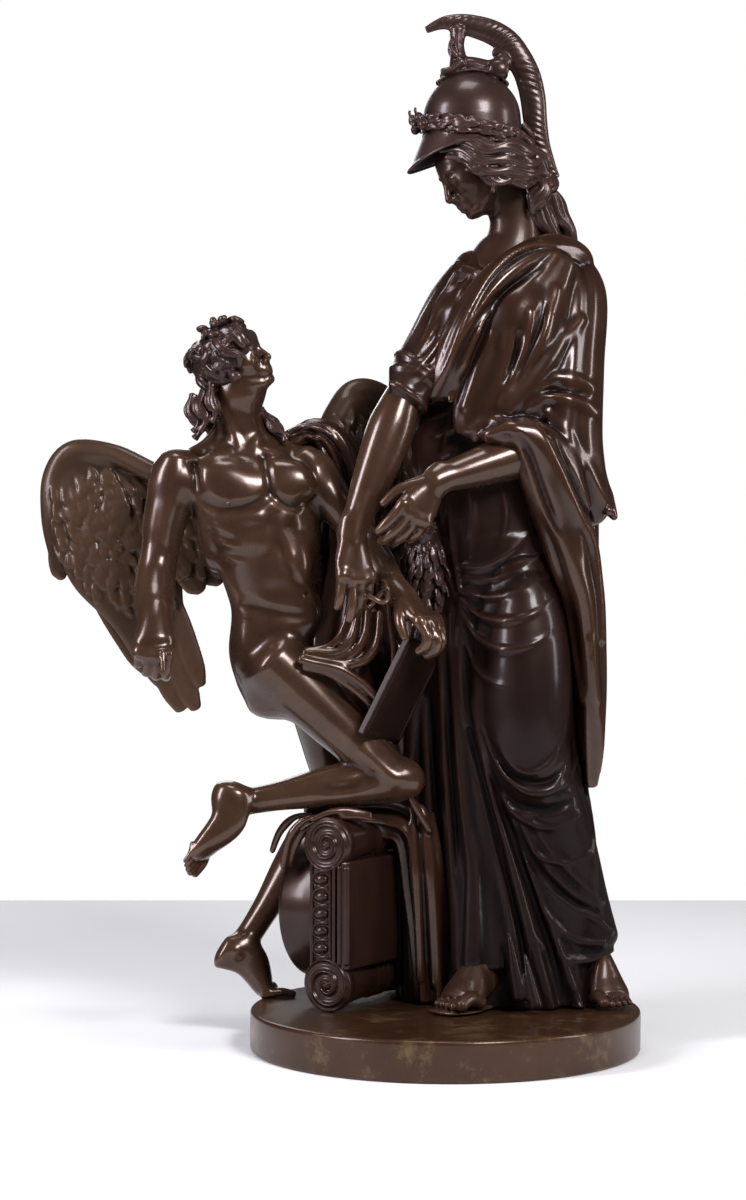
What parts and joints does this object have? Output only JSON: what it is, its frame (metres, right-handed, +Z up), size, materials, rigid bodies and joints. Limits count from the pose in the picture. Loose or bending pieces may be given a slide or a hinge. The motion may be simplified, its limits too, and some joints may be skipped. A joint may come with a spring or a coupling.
{
  "type": "athena statue",
  "caption": "Dark bronze group on a round base: a standing helmeted goddess in a mantle and a winged youth kneeling on a fallen Ionic capital.",
  "frame": {"origin": "centre of the round base's underside", "axes": "+Z up; -Y towards the viewer; the youth is on the -X side and the goddess on the +X side"},
  "size_m": [0.4575, 0.292, 0.7742],
  "materials": {
    "base_bronze": "brown patinated bronze with ochre and near-black stains, waxed",
    "capital_bronze": "brown patinated bronze, darker in the carving",
    "skin_bronze": "smooth chased bronze with a warm brown patina and a wax sheen",
    "feather_bronze": "dark brown patinated bronze with chased feathers",
    "cloth_bronze": "dark brown patinated bronze, near black in the folds"
  },
  "bodies": {
    "root": {"base": "base_bronze", "ionic_capital": "capital_bronze", "tablet": "capital_bronze", "winged_youth": "skin_bronze", "right_wing": "feather_bronze", "left_wing": "feather_bronze", "athena": "cloth_bronze"}
  },
  "joints": []
}
